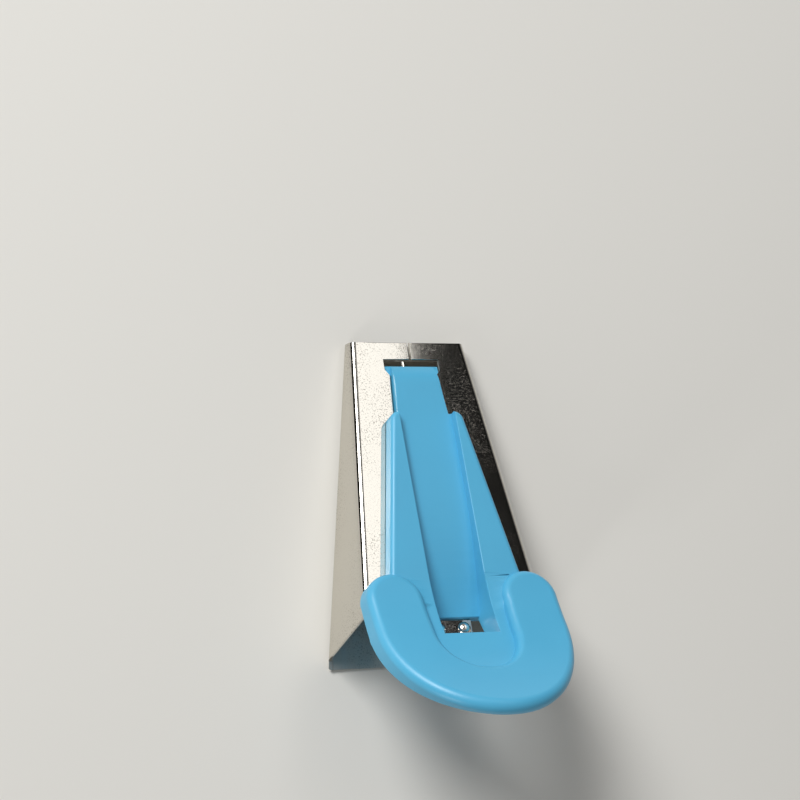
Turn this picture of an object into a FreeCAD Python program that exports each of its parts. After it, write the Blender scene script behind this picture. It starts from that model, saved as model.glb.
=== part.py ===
# A hand tool that folds a strip of cloth into bias tape and lays a strip of fusible web on it.
# A folded steel shell tapers from a wide mouth to a narrow tip. A blue moulded guide with a
# horseshoe grip hooks onto the shell and carries a steel former inside it.
#
# Frame: +X to the right, +Y towards the tip, +Z up, millimetres. The shell's base rests on Z = 0.
# The guide is drawn on the shell's sloping top plane: "along" is the distance from the tip on that
# plane, and "rise" is the height above the outer face of the flanges.
import FreeCAD, Part
import math
import os
from FreeCAD import Vector

# Shell, folded from one sheet
sheet = 0.5                  # thickness of the plated steel
base_length = 70.2           # tip edge to the lip of the mouth
tip_base_half = 13.7         # half width of the base at the tip
mouth_base_half = 23.1       # half width of the base at the mouth
wall_lean = 0.07             # inward lean of the side walls per millimetre of height
tip_height = 4.05            # outside height at the tip
top_slope = 12.8             # degrees between the flanges and the base
bend_radius = 1.6            # outside radius of every bend
slit_half = 0.25             # half of the slit where the flanges meet
mouth_rake = 23.0            # degrees that the side walls lean forward at the mouth
mouth_lip = 0.6              # height of the base's lip below that raked cut
mouth_lip_length = 1.9       # reach of the lip behind the walls
mouth_lip_corner = 1.6       # radius of its two corners

# Slot in the flanges that the guide hooks into
slot_start = 4.0             # front edge, along
slot_head_half = 6.5
slot_head_length = 2.5
slot_shoulder_length = 1.4   # chamfer from the head to the neck
neck_half = 5.5              # half gap between the flanges behind the shoulders
neck_flare = 0.0785          # growth of the half gap per millimetre along

# Former, the steel tongue that the cloth folds round
former_sheet = 0.6
former_start = 3.4           # front edge, along
former_shoulder = 50.0       # where the blade ends and the tail starts, along
former_corner = 2.5          # radius of its front corners
blade_drop = 2.4             # top of the blade below the flanges' outer face
tail_half = 4.6
tail_bend_start = 51.0       # where the tail leaves the blade's plane, along
tail_bend_end = 54.5         # where it runs level again, along
cloth_gap = 1.3              # room for cloth between the blade's edge and the wall

# Guide moulding
wall = 1.3                   # general wall thickness of the moulding
seat_gap = 0.15              # guide's underside above the flanges
hook_gap = 0.1               # hooks below the flanges' inner face
neck_gap = 0.4               # tongue to the edges of the gap, each side
tongue_start = 5.4           # front edge of the tongue, along
lug_length = 2.3
lug_thickness = 1.0
ramp_length = 5.0            # tongue's round front that leads the web down into the slot
shoulder_start = 17.7        # front edge of the wide guide, along
shoulder_half = 8.15
guide_flare = 0.178          # growth of its half width per millimetre along
guide_rise = 3.65            # top of the guide
guide_corner = 2.2           # radius of the two front corners
guide_round = 1.0            # round along the guide's top edges

# Channel for the web, on top of the guide
channel_front_half = 6.5     # half width at the guide's front
channel_rear_half = 6.3      # half width at the window
channel_floor_rise = 1.5     # floor of the channel and top of the tongue
dive_start = 35.0            # where the floor starts to dive in an arc, along
dive_floor_rise = -2.5       # floor at the window
window_start = 62.7
window_length = 6.3
trough_start = 44.0          # where walls start to go down with the floor, along
floor_thickness = 1.0
channel_wall_rise = -0.2     # lower edge of the channel's walls behind the window

# Horseshoe grip
grip_half = 21.5             # half width, and radius of the round rear
grip_end = 90.2              # rearmost point, along
arm_tip = 55.0               # front of the two arms, along
well_front_half = 9.0        # inside of the horseshoe at the arms' ends
well_half = 8.65             # inside of the horseshoe before its round bottom
well_end = 78.5              # bottom of the horseshoe's inside, along
grip_rise = 4.2              # grip's top face above the flanges where it leaves their plane
grip_curve_start = 46.5
grip_curve_radius = 64.7     # side curve of the grip's top face
under_curve_start = 54.0
under_curve_radius = 47.6    # side curve of the grip's underside
well_curve_radius = 40.5     # side curve of the floor inside the horseshoe
well_thickness = 2.0
grip_round = 1.8             # round along all of the grip's top edge
grip_skin = 1.7              # skin left round the hollow under the grip

# Snap hooks behind the flanges
hook_half = 14.2             # sideways place of each hook
hook_width = 4.0
hook_thickness = 1.6
hook_reach = 1.5             # barb's length under the flange
hook_depth = 1.0
hook_edge_gap = 0.2          # hook to the flange's rear edge

# Former's rivets and their washers
rivet_half = 2.9             # half of the distance between the rivets
rivet_radius = 0.8
rivet_head_radius = 1.5
rivet_hole_gap = 0.08
rivet_head_rise = 0.9
rivet_inset = 1.7            # rivets in front of the lip's rear end
rivet_tail_radius = 1.3
rivet_tail_height = 0.6
lip_half = 4.6
lip_thickness = 1.2
lip_reach = 3.8              # lip behind the window's front edge
letterbox_start = 57.5       # front of the slot that holds the tail, along
washer_radius = 1.6
washer_thickness = 0.5

far = 60.0                   # reach of the cutting shapes past the part

slope = math.radians(top_slope)
side_flare = (mouth_base_half - tip_base_half) / base_length
blade_top = -blade_drop
tail_top = dive_floor_rise - floor_thickness
lip_top = tail_top - former_sheet
window_end = window_start + window_length
lip_end = window_start + lip_reach
rear_round_centre = grip_end - grip_half
well_round_centre = well_end - well_half
arm_round = (grip_half - well_front_half) / 2
arm_round_centre = arm_tip + arm_round
lug_top = -sheet - hook_gap


def flange_height(length):
    """Height of the flanges' outer face at a distance from the tip along the base."""
    return tip_height + length * math.tan(slope)


def wall_half(length, height):
    """Half width over the side walls."""
    return tip_base_half + side_flare * length - wall_lean * height


def neck_half_at(along):
    """Half of the gap between the flanges behind the slot's shoulders."""
    shoulder_end = slot_start + slot_head_length + slot_shoulder_length
    return neck_half + neck_flare * (along - shoulder_end)


def guide_half_at(along):
    """Half width of the guide."""
    return shoulder_half + guide_flare * (along - shoulder_start)


def channel_half_at(along):
    """Half width of the web channel."""
    share = (along - shoulder_start) / (window_start - shoulder_start)
    return channel_front_half + (channel_rear_half - channel_front_half) * share


def arc_drop(run, length, depth):
    """Drop, after a run, of an arc that starts level and ends at a length and a depth."""
    radius = (length ** 2 + depth ** 2) / (2 * depth)
    return radius - math.sqrt(radius ** 2 - run ** 2)


def curve_rise(along, start, level, radius):
    """Rise of a side curve that leaves the flanges' plane at start, as an arc of that radius."""
    if along <= start:
        return level
    return level + radius - math.sqrt(radius ** 2 - (along - start) ** 2)


def on_top_plane(shape):
    """Moves a shape drawn with X, -along, rise onto the shell's sloping top plane."""
    placed = shape.copy()
    placed.rotate(Vector(0, 0, 0), Vector(1, 0, 0), -top_slope)
    placed.translate(Vector(0, 0, tip_height))
    return placed


def plan_prism(points, low, high):
    """Prism over an outline of (x, along) points, between two rises."""
    corners = [Vector(x, -along, low) for x, along in points]
    face = Part.Face(Part.makePolygon(corners + corners[:1]))
    return face.extrude(Vector(0, 0, high - low))


def side_prism(points, half, bends=None):
    """Prism across the part over an outline of (along, rise) points. A side in bends is an arc
    through the (along, rise) point given there for the number of its first corner."""
    corners = [Vector(-half, -along, rise) for along, rise in points]
    edges = []
    for i, (start, end) in enumerate(zip(corners, corners[1:] + corners[:1])):
        if bends and i in bends:
            along, rise = bends[i]
            edges.append(Part.Arc(start, Vector(-half, -along, rise), end).toShape())
        else:
            edges.append(Part.makeLine(start, end))
    return Part.Face(Part.Wire(edges)).extrude(Vector(2 * half, 0, 0))


def tapered_plan(start, start_half, end, end_half, low, high):
    """Prism over a trapezium that is symmetric about the centre line."""
    outline = [(-start_half, start), (start_half, start), (end_half, end), (-end_half, end)]
    return plan_prism(outline, low, high)


def block(front, rear):
    """Solid with flat faces between two outlines that have as many corners."""
    faces = [Part.Face(Part.makePolygon(outline + outline[:1])) for outline in (front, rear)]
    for i, corner in enumerate(front):
        before = i - 1
        faces.append(Part.Face(Part.makePolygon([front[before], corner, rear[i], rear[before], front[before]])))
    shell = Part.makeShell(faces)
    if Part.Solid(shell).Orientation == "Reversed":
        shell.reverse()
    return Part.Solid(shell)


def folded_wedge(inset, radius, front, rear):
    """Wedge inside the shell's outer faces by an inset, with its four long edges bent round."""
    sideways = inset * math.sqrt(1 + side_flare ** 2 + wall_lean ** 2)

    def section(length):
        outline = []
        for side, height in ((-1, inset), (1, inset), (1, None), (-1, None)):
            if height is None:
                height = flange_height(length) - inset / math.cos(slope)
            outline.append(Vector(side * (wall_half(length, height) - sideways), -length, height))
        return outline

    body = block(section(front), section(rear))
    folds = [edge for edge in body.Edges if edge.BoundBox.YLength > base_length / 2]
    return body.makeFillet(radius, folds)


def mouth_cutter():
    """Everything behind the raked cut of the side walls, above the lip of the base."""
    lean = math.tan(math.radians(mouth_rake))
    start = mouth_lip_length - base_length
    corners = [Vector(-far, start, mouth_lip),
               Vector(-far, start + lean * far, mouth_lip + far),
               Vector(-far, -base_length - far, mouth_lip + far),
               Vector(-far, -base_length - far, mouth_lip)]
    face = Part.Face(Part.makePolygon(corners + corners[:1]))
    return face.extrude(Vector(2 * far, 0, 0))


def lip_corner(side):
    """What is cut off outside one round corner of the lip."""
    radius = mouth_lip_corner
    centre = Vector(mouth_base_half - radius, radius - base_length, -wall)
    block_corner = centre - Vector(0, 2 * radius, 0)
    corner = Part.makeBox(2 * radius, 2 * radius, wall + mouth_lip, block_corner)
    corner = corner.cut(Part.makeCylinder(radius, far, centre))
    return corner if side > 0 else corner.mirror(Vector(0, 0, 0), Vector(1, 0, 0))


def flange_slot():
    """The T-shaped head, its chamfered shoulders and the gap behind them, cut from the flanges."""
    head_end = slot_start + slot_head_length
    neck_start = head_end + slot_shoulder_length
    right = [(slot_head_half, slot_start), (slot_head_half, head_end), (neck_half, neck_start),
             (neck_half_at(base_length), base_length)]
    left = [(-x, along) for x, along in reversed(right)]
    return on_top_plane(plan_prism(right + left, -3 * sheet, 3 * sheet))


def make_outer_shell():
    """Base, two walls and two flanges: one sheet folded into a tapering wedge, then cut."""
    outside = folded_wedge(0, bend_radius, 0, base_length)
    inside = folded_wedge(sheet, bend_radius - sheet, -wall, base_length + wall)
    slit = tapered_plan(-wall, slit_half, slot_start + wall, slit_half, -3 * sheet, 3 * sheet)
    cuts = [inside, mouth_cutter(), lip_corner(-1), lip_corner(1), flange_slot(), on_top_plane(slit)]
    for shape in cuts:
        outside = outside.cut(shape)
    return outside


def former_half_at(along):
    """Half width of the former's blade, which keeps the same room for cloth beside the walls."""
    length = along * math.cos(slope) - blade_top * math.sin(slope)
    height = tip_height + along * math.sin(slope) + blade_top * math.cos(slope)
    return wall_half(length, height) - sheet - cloth_gap


def make_inner_former():
    """Flat blade between base and flanges, with a tail that steps down into the guide's slot."""
    blade = tapered_plan(former_start, former_half_at(former_start),
                         former_shoulder, former_half_at(former_shoulder),
                         blade_top - former_sheet, blade_top)
    blade = blade.makeFillet(former_corner, upright_edges(blade, former_sheet))
    upper = [(former_shoulder - former_corner, blade_top), (tail_bend_start, blade_top),
             (tail_bend_end, tail_top), (lip_end, tail_top)]
    lower = [(along, rise - former_sheet) for along, rise in reversed(upper)]
    former = blade.fuse(side_prism(upper + lower, tail_half)).removeSplitter()
    for place in rivet_places():
        former = former.cut(upright(rivet_radius + rivet_hole_gap, place, -far, 2 * far))
    return on_top_plane(former)


def upright_edges(shape, height):
    """Edges of that height that stand square to the top plane."""
    return [edge for edge in shape.Edges
            if abs(edge.BoundBox.ZLength - height) < 1e-6 and edge.BoundBox.XLength < 1e-6
            and edge.BoundBox.YLength < 1e-6]


def rivet_places():
    """The two rivets' places as (x, along)."""
    return [(side * rivet_half, lip_end - rivet_inset) for side in (-1, 1)]


def upright(radius, place, low, height):
    """Cylinder square to the top plane at an (x, along) place."""
    return Part.makeCylinder(radius, height, Vector(place[0], -place[1], low))


def plate_section(along):
    """Section of the guide's plate."""
    half = guide_half_at(along)
    outline = [(-half, seat_gap), (half, seat_gap), (half, guide_rise), (-half, guide_rise)]
    return [Vector(x, -along, rise) for x, rise in outline]


def guide_plate():
    """Tapered plate that lies on both flanges, with round front corners and soft top edges."""
    plate = block(plate_section(shoulder_start), plate_section(arm_round_centre))
    corners = [edge for edge in upright_edges(plate, guide_rise - seat_gap)
               if -edge.BoundBox.YMax < shoulder_start + guide_corner]
    plate = plate.makeFillet(guide_corner, corners)
    return plate.makeFillet(guide_round, [edge for edge in plate.Edges if on_plate_rim(edge)])


def on_plate_rim(edge):
    """True for the plate's top edges apart from the rear one, which the grip covers."""
    at_top = edge.BoundBox.ZMin > guide_rise - 1e-3
    return at_top and -edge.BoundBox.YMax < arm_round_centre - guide_corner


def tongue():
    """Narrow front of the guide in the gap between the flanges, with lugs that hook under them."""
    tongue_end = shoulder_start + guide_corner
    floor = lug_top - lug_thickness
    ramp_end = tongue_start + ramp_length
    ramp_middle = channel_floor_rise - arc_drop(ramp_length / 2, ramp_length, channel_floor_rise - lug_top)
    profile = [(tongue_start, floor), (tongue_start, lug_top), (ramp_end, channel_floor_rise),
               (tongue_end, channel_floor_rise), (tongue_end, floor)]
    body = side_prism(profile, slot_head_half, {1: (ramp_end - ramp_length / 2, ramp_middle)})
    plan = tapered_plan(tongue_start, neck_half_at(tongue_start) - neck_gap,
                        tongue_end, neck_half_at(tongue_end) - neck_gap, -far, far)
    lug_half = slot_head_half - hook_gap
    lugs = tapered_plan(tongue_start, lug_half, tongue_start + lug_length, lug_half, floor, lug_top)
    return body.common(plan).fuse(lugs)


def web_path():
    """The open channel: level on the guide, down between the flanges and out at the window."""
    profile = [(tongue_start, channel_floor_rise), (dive_start, channel_floor_rise),
               (window_start, dive_floor_rise), (window_start, tail_top), (window_end, tail_top),
               (window_end, far), (tongue_start, far)]
    half_dive = (window_start - dive_start) / 2
    middle = channel_floor_rise - arc_drop(half_dive, 2 * half_dive, channel_floor_rise - dive_floor_rise)
    plan = tapered_plan(tongue_start, channel_half_at(tongue_start),
                        window_end, channel_half_at(window_end), -far, far)
    return side_prism(profile, grip_half, {1: (dive_start + half_dive, middle)}).common(plan)


def trough():
    """Walls and floor that carry the channel down through the gap, with a slot and a lip for the tail."""
    lip_bottom = lip_top - lip_thickness
    rear = window_end + wall
    profile = [(trough_start, far), (trough_start, seat_gap), (letterbox_start, tail_top),
               (letterbox_start, lip_bottom), (window_start, lip_bottom), (window_start, tail_top),
               (window_end, channel_wall_rise), (rear, channel_wall_rise + wall), (rear, far)]
    plan = tapered_plan(trough_start, channel_half_at(trough_start) + wall,
                        rear, channel_half_at(rear) + wall, -far, far)
    under_well = curved_slab((arm_tip, -far, well_curve_radius), well_curve(well_thickness / 2), well_end)
    body = side_prism(profile, grip_half).common(plan).common(under_well)
    body = body.cut(tapered_plan(window_start, channel_half_at(window_start),
                                 rear + wall, channel_half_at(rear + wall), tail_top, far))
    lip = tapered_plan(window_start - wall, lip_half, lip_end, lip_half, lip_bottom, lip_top)
    slot_half = tail_half + hook_gap
    slot = tapered_plan(trough_start, slot_half, window_start, slot_half, lip_top, tail_top)
    body = body.fuse(lip).cut(slot)
    for place in rivet_places():
        body = body.cut(upright(rivet_radius + rivet_hole_gap, place, -far, far + lip_top))
    return body


def horseshoe(inset):
    """Prism over the grip's plan: round arm ends, straight sides, a round rear and a round well."""
    def point(x, along):
        return Vector(x, -along, -far)

    edges = []
    for radius, centre, end in ((grip_half - inset, rear_round_centre, grip_end - inset),
                                (well_half + inset, well_round_centre, well_end + inset)):
        edges.append(Part.Arc(point(radius, centre), point(0, end), point(-radius, centre)).toShape())
    for side in (-1, 1):
        outer = point(side * (grip_half - inset), arm_round_centre)
        inner = point(side * (well_front_half + inset), arm_round_centre)
        tip = point(side * (grip_half - arm_round), arm_tip + inset)
        edges.append(Part.makeLine(point(side * (grip_half - inset), rear_round_centre), outer))
        edges.append(Part.Arc(outer, tip, inner).toShape())
        edges.append(Part.makeLine(inner, point(side * (well_half + inset), well_round_centre)))
    face = Part.Face(Part.Wire(Part.__sortEdges__(edges)))
    return face.extrude(Vector(0, 0, 2 * far))


def grip_curve(drop):
    return grip_curve_start, grip_rise - drop, grip_curve_radius


def well_curve(drop):
    return arm_tip, guide_rise - drop, well_curve_radius


def curved_slab(lower, upper, end):
    """Slab right across the part, to past an end, between two curves given as (start, level, radius)."""
    front = grip_curve_start - wall
    rear = end + wall

    def point(curve, along):
        return Vector(-far, -along, curve_rise(along, *curve))

    edges = []
    for curve in (lower, upper):
        start = curve[0]
        bend = [point(curve, along) for along in (start, (start + rear) / 2, rear)]
        edges.append(Part.makeLine(point(curve, front), bend[0]))
        edges.append(Part.Arc(*bend).toShape())
    for along in (front, rear):
        edges.append(Part.makeLine(point(lower, along), point(upper, along)))
    face = Part.Face(Part.Wire(Part.__sortEdges__(edges)))
    return face.extrude(Vector(2 * far, 0, 0))


def grip():
    """Horseshoe that curves up behind the shell, soft along its top edge."""
    def on_top(edge):
        middle = edge.valueAt((edge.FirstParameter + edge.LastParameter) / 2)
        points = [vertex.Point for vertex in edge.Vertexes] + [middle]
        return all(abs(p.z - curve_rise(-p.y, *grip_curve(0))) < 1e-4 for p in points)

    under = (under_curve_start, seat_gap, under_curve_radius)
    body = horseshoe(0).common(curved_slab(under, grip_curve(0), grip_end))
    return body.makeFillet(grip_round, [edge for edge in body.Edges if on_top(edge)])


def grip_hollow():
    """Space moulded out of the grip from below."""
    below = (grip_curve_start, -far, grip_curve_radius)
    return horseshoe(grip_skin).common(curved_slab(below, grip_curve(grip_skin), grip_end))


def well_floor():
    """Thumb rest between the arms, which carries the guide's top on and curves up with the grip."""
    overlap = grip_skin / 2
    middle = well_front_half + overlap
    radius = well_half + overlap
    front = tapered_plan(arm_tip, well_front_half + arm_round / 2, arm_round_centre, middle, -far, far)
    sides = tapered_plan(arm_round_centre, middle, well_round_centre, radius, -far, far)
    plan = sides.fuse([front, upright(radius, (0, well_round_centre), -far, 2 * far)])
    return plan.common(curved_slab(well_curve(well_thickness), well_curve(0), well_end))


def flange_end(rise):
    """Along position of the flanges' raked rear edge at a rise."""
    rake = math.tan(math.radians(mouth_rake))
    height = tip_height - mouth_lip + rise * math.cos(slope)
    reach = base_length - mouth_lip_length - rake * height + rise * math.sin(slope)
    return reach / (math.cos(slope) + rake * math.sin(slope))


def hook(side):
    """Snap hook that reaches down behind a flange's rear edge and under it."""
    front = flange_end(-sheet) + hook_edge_gap
    rear = front + hook_thickness
    bottom = lug_top - hook_depth
    barb = front - hook_edge_gap - hook_reach
    top = curve_rise(front, *grip_curve(grip_skin / 2))
    profile = [(front, top), (front, lug_top), (barb, lug_top), (barb + hook_depth / 2, bottom),
               (rear, bottom), (rear, top)]
    shape = side_prism(profile, hook_width / 2)
    shape.translate(Vector(side * hook_half, 0, 0))
    return shape


def make_guide_handle():
    """The one-piece moulding: tongue, guide with its web channel, trough, horseshoe grip and hooks."""
    body = guide_plate().fuse(grip()).cut(grip_hollow())
    body = body.fuse([tongue(), trough(), well_floor(), hook(-1), hook(1)])
    body = body.cut(web_path())
    return on_top_plane(body.removeSplitter())


def make_former_rivets():
    """Two dome-headed rivets through the former's tail and the lip under it."""
    grip_length = former_sheet + lip_thickness + washer_thickness
    outline_top = [Vector(rivet_head_radius, 0, 0), Vector(rivet_radius, 0, 0),
                   Vector(rivet_radius, 0, -grip_length), Vector(rivet_tail_radius, 0, -grip_length),
                   Vector(rivet_tail_radius, 0, -grip_length - rivet_tail_height),
                   Vector(0, 0, -grip_length - rivet_tail_height), Vector(0, 0, rivet_head_rise)]
    edges = [Part.makeLine(a, b) for a, b in zip(outline_top, outline_top[1:])]
    dome_radius = (rivet_head_radius ** 2 + rivet_head_rise ** 2) / (2 * rivet_head_rise)
    dome_centre = rivet_head_rise - dome_radius
    half_turn = math.asin(rivet_head_radius / dome_radius) / 2
    middle = Vector(dome_radius * math.sin(half_turn), 0, dome_centre + dome_radius * math.cos(half_turn))
    edges.append(Part.Arc(outline_top[-1], middle, outline_top[0]).toShape())
    face = Part.Face(Part.Wire(Part.__sortEdges__(edges)))
    rivet = face.revolve(Vector(0, 0, 0), Vector(0, 0, 1), 360)
    return on_top_plane(Part.makeCompound([placed_at(rivet, place, tail_top) for place in rivet_places()]))


def placed_at(shape, place, rise):
    """Copy of a shape moved to an (x, along) place and a rise."""
    copy = shape.copy()
    copy.translate(Vector(place[0], -place[1], rise))
    return copy


def make_rivet_washers():
    """Washers that spread the rivets' pull under the moulded lip."""
    bottom = lip_top - lip_thickness - washer_thickness
    washers = []
    for place in rivet_places():
        disc = upright(washer_radius, place, bottom, washer_thickness)
        washers.append(disc.cut(upright(rivet_radius + rivet_hole_gap, place, -far, 2 * far)))
    return on_top_plane(Part.makeCompound(washers))


sub_parts = {
    "outer_shell": make_outer_shell(),
    "inner_former": make_inner_former(),
    "guide_handle": make_guide_handle(),
    "former_rivets": make_former_rivets(),
    "rivet_washers": make_rivet_washers(),
}

# The origin is the centre of the whole part's lower face
whole = Part.makeCompound(list(sub_parts.values())).optimalBoundingBox(False, False)
to_origin = Vector(0, -(whole.YMin + whole.YMax) / 2, 0)

os.makedirs("parts", exist_ok=True)
for name, shape in sub_parts.items():
    shape.translate(to_origin)
    shape.exportStep("parts/" + name + ".step")
    print(name, len(shape.Solids), "solids", round(shape.Volume, 1), "mm3", "valid", shape.isValid())
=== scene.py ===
import math
import bmesh
import bpy
from mathutils import Matrix, Vector


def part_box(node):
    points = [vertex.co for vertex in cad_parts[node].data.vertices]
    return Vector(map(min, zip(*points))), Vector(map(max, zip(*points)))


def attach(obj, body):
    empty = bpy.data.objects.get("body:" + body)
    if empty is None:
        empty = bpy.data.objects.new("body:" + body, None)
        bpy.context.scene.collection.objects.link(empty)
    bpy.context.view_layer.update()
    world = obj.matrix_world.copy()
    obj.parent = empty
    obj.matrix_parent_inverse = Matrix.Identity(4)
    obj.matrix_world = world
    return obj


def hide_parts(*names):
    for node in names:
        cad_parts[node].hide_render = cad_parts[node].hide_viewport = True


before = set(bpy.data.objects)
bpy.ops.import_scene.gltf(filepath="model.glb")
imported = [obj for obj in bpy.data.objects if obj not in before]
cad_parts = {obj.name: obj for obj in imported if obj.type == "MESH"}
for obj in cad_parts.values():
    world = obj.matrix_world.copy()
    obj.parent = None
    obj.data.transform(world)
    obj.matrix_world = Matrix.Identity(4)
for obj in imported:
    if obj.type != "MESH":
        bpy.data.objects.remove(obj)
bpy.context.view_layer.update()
print("frame loaded:", sorted(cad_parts))

mm = 0.001
slope = math.radians(12.8)  # slope of the steel's top plane
tipHeight = 4.05 * mm  # height of that plane at the tip
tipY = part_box("outer_shell")[1][1]  # front edge of the base
flangeFront = Vector((0, tipY, tipHeight))  # front end of the top plane's middle line
flangeUp = Vector((0, math.sin(slope), math.cos(slope)))  # the top plane's normal
flangeBack = Vector((0, -math.cos(slope), math.sin(slope)))  # runs up the top plane to the mouth


def hexColour(code):  # sRGB hex to linear
    channels = [int(code[i:i + 2], 16) / 255 for i in (1, 3, 5)]
    linear = [c / 12.92 if c <= 0.04045 else ((c + 0.055) / 1.055) ** 2.4 for c in channels]
    return (*linear, 1)


# adds one shader node: settings go to its attributes or sockets, links to its sockets
def addNode(material, kind, settings=None, links=None):
    node = material.node_tree.nodes.new(kind)
    for name, value in (settings or {}).items():
        if isinstance(name, str) and hasattr(node, name):
            setattr(node, name, value)
        else:
            node.inputs[name].default_value = value
    for name, source in (links or {}).items():
        material.node_tree.links.new(source, node.inputs[name])
    return node


def startMaterial(name):
    material = bpy.data.materials.new(name)
    material.use_nodes = True
    return material, material.node_tree.nodes["Principled BSDF"]


# feeds the shader's sockets from other nodes
def feed(material, shader, sources):
    for name, source in sources.items():
        material.node_tree.links.new(source, shader.inputs[name])


# Sizes, widths, lengths and heights in mm, polish and dull are the least and most roughness.
# Shell outside: a warm white mirror with brown pin holes in patches
shellLook = {"light": "#D1CDC4", "speck": "#6E6352", "speckSize": 0.3, "speckShare": 0.6,
             "patchSize": 16, "polish": 0.04, "dull": 0.07, "lineWidth": 0.12, "lineLength": 14,
             "peelSize": 1.4, "peelHeight": 0.0012}
# Shell inside: the same plate, never buffed, so it is a soft grey that mirrors nothing clearly
insideLook = {"light": "#CBC8C0", "speck": "#6E6352", "speckSize": 0.3, "speckShare": 0.5,
              "patchSize": 12, "polish": 0.42, "dull": 0.55, "lineWidth": 0.2, "lineLength": 14,
              "peelSize": 1.1, "peelHeight": 0.002}
# Former: a slightly duller mirror with fewer pin holes. Its tone is darker than the shell's partly as
# tinned steel and partly as painted shade, so that it is seen black through the window
formerLook = {"light": "#A3A19C", "speck": "#5C564E", "speckSize": 0.3, "speckShare": 0.3,
              "patchSize": 9, "polish": 0.05, "dull": 0.09, "lineWidth": 0.1, "lineLength": 20,
              "peelSize": 0.9, "peelHeight": 0.0015}
# Rivets and washers: the palest steel, soft enough that the dome shows one broad bright spot
rivetLook = {"light": "#E8E4DB", "speck": "#A39A8B", "speckSize": 0.2, "speckShare": 0.2,
             "patchSize": 3, "polish": 0.12, "dull": 0.2, "lineWidth": 0.3, "lineLength": 0.6,
             "peelSize": 0.6, "peelHeight": 0.001}
# which noise values start and fill each pattern, and what all the plated looks share
platePattern = {"speckStart": 0.55, "speckFull": 0.68, "patchStart": 0.4, "patchFull": 0.62,
                "betweenPatches": 0.15, "lineLow": 0.3, "lineHigh": 0.7, "speckRoughness": 0.3}


# Nickel plate on rolled sheet steel: a mirror barely broken by the rolling lines, with brown pin
# holes where the plate is thin. Real pin holes and rolling lines are too fine to show at the
# photo's size, so both are drawn coarser.
def makePlatedSteel(name, look):
    material, shader = startMaterial(name)
    place = addNode(material, "ShaderNodeTexCoord").outputs["Object"]
    acrossSheet, alongSheet = 1 / (look["lineWidth"] * mm), 1 / (look["lineLength"] * mm)
    rolled = addNode(material, "ShaderNodeMapping",
                     {"Scale": (acrossSheet, alongSheet, acrossSheet)}, {"Vector": place})
    lines = addNode(material, "ShaderNodeTexNoise", {"Scale": 1, "Detail": 2},
                    {"Vector": rolled.outputs["Vector"]})
    specks = addNode(material, "ShaderNodeTexNoise",
                     {"Scale": 1 / (look["speckSize"] * mm), "Detail": 2}, {"Vector": place})
    patches = addNode(material, "ShaderNodeTexNoise",
                      {"Scale": 1 / (look["patchSize"] * mm), "Detail": 3}, {"Vector": place})
    peel = addNode(material, "ShaderNodeTexNoise",
                   {"Scale": 1 / (look["peelSize"] * mm), "Detail": 1}, {"Vector": place})
    dots = addNode(material, "ShaderNodeMapRange",
                   {"From Min": platePattern["speckStart"], "From Max": platePattern["speckFull"]},
                   {"Value": specks.outputs["Fac"]})
    thin = addNode(material, "ShaderNodeMapRange",
                   {"From Min": platePattern["patchStart"], "From Max": platePattern["patchFull"],
                    "To Min": platePattern["betweenPatches"]}, {"Value": patches.outputs["Fac"]})
    dirt = addNode(material, "ShaderNodeMath", {"operation": "MULTIPLY"},
                   {0: dots.outputs["Result"], 1: thin.outputs["Result"]})
    share = addNode(material, "ShaderNodeMath", {"operation": "MULTIPLY", 1: look["speckShare"]},
                    {0: dirt.outputs["Value"]})
    tone = addNode(material, "ShaderNodeMix",
                   {"data_type": "RGBA", 6: hexColour(look["light"]), 7: hexColour(look["speck"])},
                   {0: share.outputs["Value"]})
    gloss = addNode(material, "ShaderNodeMapRange",
                    {"From Min": platePattern["lineLow"], "From Max": platePattern["lineHigh"],
                     "To Min": look["polish"], "To Max": look["dull"]}, {"Value": lines.outputs["Fac"]})
    rough = addNode(material, "ShaderNodeMath",
                    {"operation": "MULTIPLY_ADD", 1: platePattern["speckRoughness"]},
                    {0: share.outputs["Value"], 2: gloss.outputs["Result"]})
    bump = addNode(material, "ShaderNodeBump", {"Strength": 1, "Distance": look["peelHeight"] * mm},
                   {"Height": peel.outputs["Fac"]})
    shader.inputs["Metallic"].default_value = 1
    feed(material, shader, {"Base Color": tone.outputs[2], "Roughness": rough.outputs["Value"],
                            "Normal": bump.outputs["Normal"]})
    return material


# sizes in mm, scuffTurn in radians
plasticLook = {"light": "#54B2D9", "deep": "#4EA9D0", "cloudSize": 15, "cloudLow": 0.35,
               "cloudHigh": 0.65, "polish": 0.33, "dull": 0.42, "skinSize": 0.22,
               "skinHeight": 0.002, "scuffWidth": 0.15, "scuffLength": 5, "scuffTurn": 0.35,
               "scuffStart": 0.6, "scuffFull": 0.72, "scuff": 0.05, "refraction": 1.53}


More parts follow.
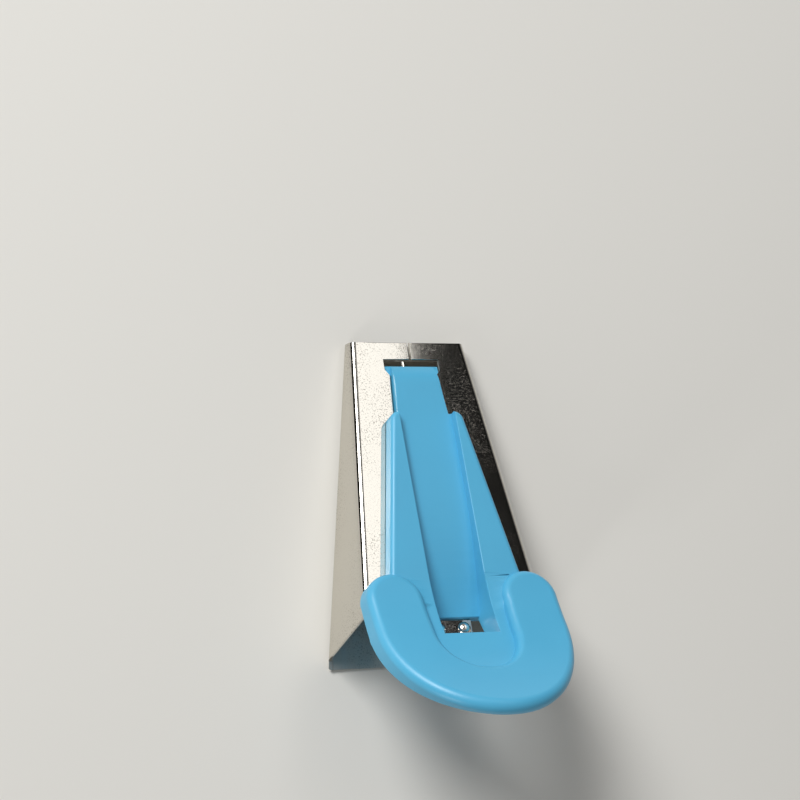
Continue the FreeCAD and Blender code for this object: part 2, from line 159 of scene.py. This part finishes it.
# Moulded ABS in light blue: an even satin with the spark-eroded skin of its mould, and short
# scuffs from fingers and cloth along the tool. The real skin is too fine to show at the photo's
# size, so it is drawn coarser.
def makeMouldedAbs(name, look):
    material, shader = startMaterial(name)
    place = addNode(material, "ShaderNodeTexCoord").outputs["Object"]
    clouds = addNode(material, "ShaderNodeTexNoise",
                     {"Scale": 1 / (look["cloudSize"] * mm), "Detail": 3}, {"Vector": place})
    skin = addNode(material, "ShaderNodeTexNoise",
                   {"Scale": 1 / (look["skinSize"] * mm), "Detail": 2}, {"Vector": place})
    acrossTool, alongTool = 1 / (look["scuffWidth"] * mm), 1 / (look["scuffLength"] * mm)
    rubbed = addNode(material, "ShaderNodeMapping",
                     {"Rotation": (0, 0, look["scuffTurn"]),
                      "Scale": (acrossTool, alongTool, acrossTool)}, {"Vector": place})
    scuffs = addNode(material, "ShaderNodeTexNoise", {"Scale": 1, "Detail": 3},
                     {"Vector": rubbed.outputs["Vector"]})
    tone = addNode(material, "ShaderNodeMix",
                   {"data_type": "RGBA", 6: hexColour(look["deep"]), 7: hexColour(look["light"])},
                   {0: clouds.outputs["Fac"]})
    satin = addNode(material, "ShaderNodeMapRange",
                    {"From Min": look["cloudLow"], "From Max": look["cloudHigh"],
                     "To Min": look["polish"], "To Max": look["dull"]}, {"Value": clouds.outputs["Fac"]})
    marks = addNode(material, "ShaderNodeMapRange",
                    {"From Min": look["scuffStart"], "From Max": look["scuffFull"],
                     "To Max": look["scuff"]}, {"Value": scuffs.outputs["Fac"]})
    rough = addNode(material, "ShaderNodeMath", {"operation": "ADD"},
                    {0: satin.outputs["Result"], 1: marks.outputs["Result"]})
    bump = addNode(material, "ShaderNodeBump", {"Strength": 1, "Distance": look["skinHeight"] * mm},
                   {"Height": skin.outputs["Fac"]})
    shader.inputs["IOR"].default_value = look["refraction"]
    feed(material, shader, {"Base Color": tone.outputs[2], "Roughness": rough.outputs["Value"],
                            "Normal": bump.outputs["Normal"]})
    return material


nickelPlate = makePlatedSteel("nickelPlate", shellLook)
unpolishedNickel = makePlatedSteel("unpolishedNickel", insideLook)
formerSteel = makePlatedSteel("formerSteel", formerLook)
rivetSteel = makePlatedSteel("rivetSteel", rivetLook)
mouldedAbs = makeMouldedAbs("mouldedAbs", plasticLook)
for node, material in (("inner_former", formerSteel), ("former_rivets", rivetSteel),
                       ("rivet_washers", rivetSteel)):
    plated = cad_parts[node]
    plated.data.materials.clear()
    plated.data.materials.append(material)
print("materials done")

# Edge rounds of the two large pieces: round and shortest edge in mm. Edges over "sharp" degrees
# are rounded, and faces under "flat" degrees apart are made one.
shellEdges = {"round": 0.1, "segments": 2, "sharp": 50, "shortest": 3, "flat": 0.2}
guideEdges = {"round": 0.2, "segments": 3, "sharp": 42, "shortest": 1, "flat": 0.2}
# corners this near are one and edges this short go, in mm, and shading breaks over this angle
meshCare = {"weld": 0.001, "sliver": 0.02, "crease": 24}


# The CAD piece with its flats made whole and its long outer edges rounded, in that node's place.
# Inner and very short edges stay sharp, since a round there folds the faces beside it.
def roundedPiece(node, name, material, look):
    bm = bmesh.new()
    bm.from_mesh(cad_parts[node].data)
    bmesh.ops.remove_doubles(bm, verts=bm.verts, dist=meshCare["weld"] * mm)
    bmesh.ops.dissolve_limit(bm, angle_limit=math.radians(look["flat"]), verts=bm.verts,
                             edges=bm.edges)
    sharp = [edge for edge in bm.edges if len(edge.link_faces) == 2 and edge.is_convex
             and edge.calc_face_angle() > math.radians(look["sharp"])
             and edge.calc_length() > look["shortest"] * mm]
    openEdges = sum(len(edge.link_faces) != 2 for edge in bm.edges)
    print(name, "edges rounded:", len(sharp), "open:", openEdges)
    bmesh.ops.bevel(bm, geom=sharp, offset=look["round"] * mm, offset_type="OFFSET",
                    affect="EDGES", segments=look["segments"], profile=0.5, material=-1,
                    clamp_overlap=False)
    bmesh.ops.dissolve_degenerate(bm, edges=bm.edges, dist=meshCare["sliver"] * mm)
    for face in bm.faces:
        face.smooth = True
    mesh = bpy.data.meshes.new(name)
    bm.to_mesh(mesh)
    bm.free()
    mesh.set_sharp_from_angle(angle=math.radians(meshCare["crease"]))
    mesh.materials.clear()
    mesh.materials.append(material)
    piece = bpy.data.objects.new(name, mesh)
    bpy.context.scene.collection.objects.link(piece)
    evenShade = piece.modifiers.new("evenShade", "WEIGHTED_NORMAL")  # flats stay flat up to their rounds
    evenShade.keep_sharp = True
    evenShade.weight = 100
    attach(piece, "root")
    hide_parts(node)
    return piece


# faces of the shell that look towards the middle of its hollow get the unbuffed plate
shell = roundedPiece("outer_shell", "foldedShell", nickelPlate, shellEdges)
shell.data.materials.append(unpolishedNickel)
inwardLimit = -0.3
for face in shell.data.polygons:
    flangeHeight = tipHeight + (tipY - face.center.y) * math.tan(slope)
    core = Vector((0, face.center.y, flangeHeight / 2))
    outward = (face.center - core).normalized()
    face.material_index = 1 if face.normal.dot(outward) < inwardLimit else 0
roundedPiece("guide_handle", "webGuide", mouldedAbs, guideEdges)
print("pieces done")

# The tool is seen from above, rolled to its left and pitched, as the photograph shows it. Angles
# in radians, distances in mm, near and far clip in m
cameraView = {"roll": 0.4027, "pitch": 0.2105, "turn": 0.0034, "distance": 550, "lens": 112.87,
              "sensor": 36, "side": 0.0168, "up": -11.617, "near": 0.01, "far": 20}
roll, pitch = cameraView["roll"], cameraView["pitch"]
right = Vector((math.cos(roll), -math.sin(pitch) * math.sin(roll), math.cos(pitch) * math.sin(roll)))
up = Vector((0, math.cos(pitch), math.sin(pitch)))
back = right.cross(up)
shift = back * cameraView["distance"] - right * cameraView["side"] + up * cameraView["up"]
spin = Matrix.Rotation(cameraView["turn"], 3, back)
cameraData = bpy.data.cameras.new("camera")
cameraData.lens = cameraView["lens"]
cameraData.sensor_width = cameraView["sensor"]
cameraData.clip_start = cameraView["near"]
cameraData.clip_end = cameraView["far"]
camera = bpy.data.objects.new("camera", cameraData)
bpy.context.scene.collection.objects.link(camera)
camera.matrix_world = Matrix((spin @ right, spin @ up, back)).transposed().to_4x4()
camera.location = Vector((0, tipY, 0)) + shift * mm
bpy.context.scene.camera = camera

cardRoughness = 0.9


# flat square of the studio, which isn't part of the tool
def addCard(name, centre, across, away, size, colour):
    bm = bmesh.new()
    bmesh.ops.create_grid(bm, x_segments=1, y_segments=1, size=0.5)
    turn = Matrix((across, away.cross(across), away)).transposed().to_4x4()
    scale = Matrix.Diagonal((*size, 1, 1))
    bmesh.ops.transform(bm, matrix=Matrix.Translation(centre) @ turn @ scale, verts=bm.verts)
    mesh = bpy.data.meshes.new(name)
    bm.to_mesh(mesh)
    bm.free()
    material, shader = startMaterial(name)
    shader.inputs["Base Color"].default_value = hexColour(colour)
    shader.inputs["Roughness"].default_value = cardRoughness
    mesh.materials.append(material)
    card = bpy.data.objects.new(name, mesh)
    bpy.context.scene.collection.objects.link(card)


# softbox whose glow, not its power, is given, so that its mirror image keeps its tone
def addSoftbox(name, centre, across, away, size, glow):
    data = bpy.data.lights.new(name, "AREA")
    data.shape = "RECTANGLE"
    data.size, data.size_y = size
    data.energy = math.pi * size[0] * size[1] * glow
    lamp = bpy.data.objects.new(name, data)
    bpy.context.scene.collection.objects.link(lamp)
    lamp.matrix_world = Matrix((across, away.cross(across), away)).transposed().to_4x4()
    lamp.location = centre


# Floor and lamps in metres, panelLean in radians. A "way" is the direction from the tool to a
# lamp or flag, which faces the point aimHeight above the floor.
floorLook = {"size": 6.0, "drop": 0.0002, "colour": "#E2E0DA"}
studio = {"mirrorPlace": 0.035, "panelDistance": 1.0, "panelSize": (0.2, 0.9), "panelGlow": 1.35,
          "panelGap": 0.01, "panelLean": 0.12, "flagSize": (0.7, 1.1), "black": "#050505",
          "aimHeight": 0.01, "keyWay": (-0.55, 0.55, 0.62), "keyDistance": 1.2,
          "keySize": (0.6, 0.6), "keyGlow": 12.8, "lowFlagWay": (-0.9, 0.3, 0.27),
          "lowFlagDistance": 1.1, "lowFlagSize": (1.6, 0.6), "rimWay": (-0.71, -0.63, 0.31),
          "rimDistance": 0.9, "rimSize": (0.03, 0.4), "rimGlow": 30, "sky": 0.25}


# centre and axes of something that stands off in a direction and faces the tool
def facing(direction, distance):
    away = Vector(direction).normalized()
    across = Vector((0, 0, 1)).cross(away).normalized()
    return Vector((0, 0, studio["aimHeight"])) + away * distance, across, away


addCard("paleFloor", Vector((0, 0, -floorLook["drop"])), Vector((1, 0, 0)), Vector((0, 0, 1)),
        (floorLook["size"], floorLook["size"]), floorLook["colour"])

# The top plane mirrors the camera into the sky over the tip. A pale panel fills the half of that
# view that the left flange shows, and a black flag the half that the right flange shows.
depth = (camera.location - flangeFront).dot(flangeUp)
mirrored = camera.location - flangeUp * 2 * depth
flangeMiddle = flangeFront + flangeBack * studio["mirrorPlace"]
sky = (flangeMiddle - mirrored).normalized()
left = sky.cross(flangeBack).normalized()
left = Matrix.Rotation(-studio["panelLean"], 3, sky) @ (left if left.x < 0 else -left)
panelEdge = flangeMiddle + sky * studio["panelDistance"] + left * studio["panelGap"]
addSoftbox("skyPanel", panelEdge + left * studio["panelSize"][0] / 2, left, sky,
           studio["panelSize"], studio["panelGlow"])
addCard("blackFlag", panelEdge - left * studio["flagSize"][0] / 2, left, sky,
        studio["flagSize"], studio["black"])
# the key lights the tool and draws the bright line along the left fold
addSoftbox("keyLamp", *facing(studio["keyWay"], studio["keyDistance"]),
           studio["keySize"], studio["keyGlow"])
# the low flag draws the black line beside it
addCard("lowFlag", *facing(studio["lowFlagWay"], studio["lowFlagDistance"]),
        studio["lowFlagSize"], studio["black"])
# the thin rim lamp draws the highlight along the grip's edge
addSoftbox("rimLamp", *facing(studio["rimWay"], studio["rimDistance"]),
           studio["rimSize"], studio["rimGlow"])

world = bpy.data.worlds.new("world")
bpy.context.scene.world = world
world.use_nodes = True
background = world.node_tree.nodes["Background"]
background.inputs["Color"].default_value = (1, 1, 1, 1)
background.inputs["Strength"].default_value = studio["sky"]
bpy.context.scene.view_settings.view_transform = "Standard"
print("studio done")
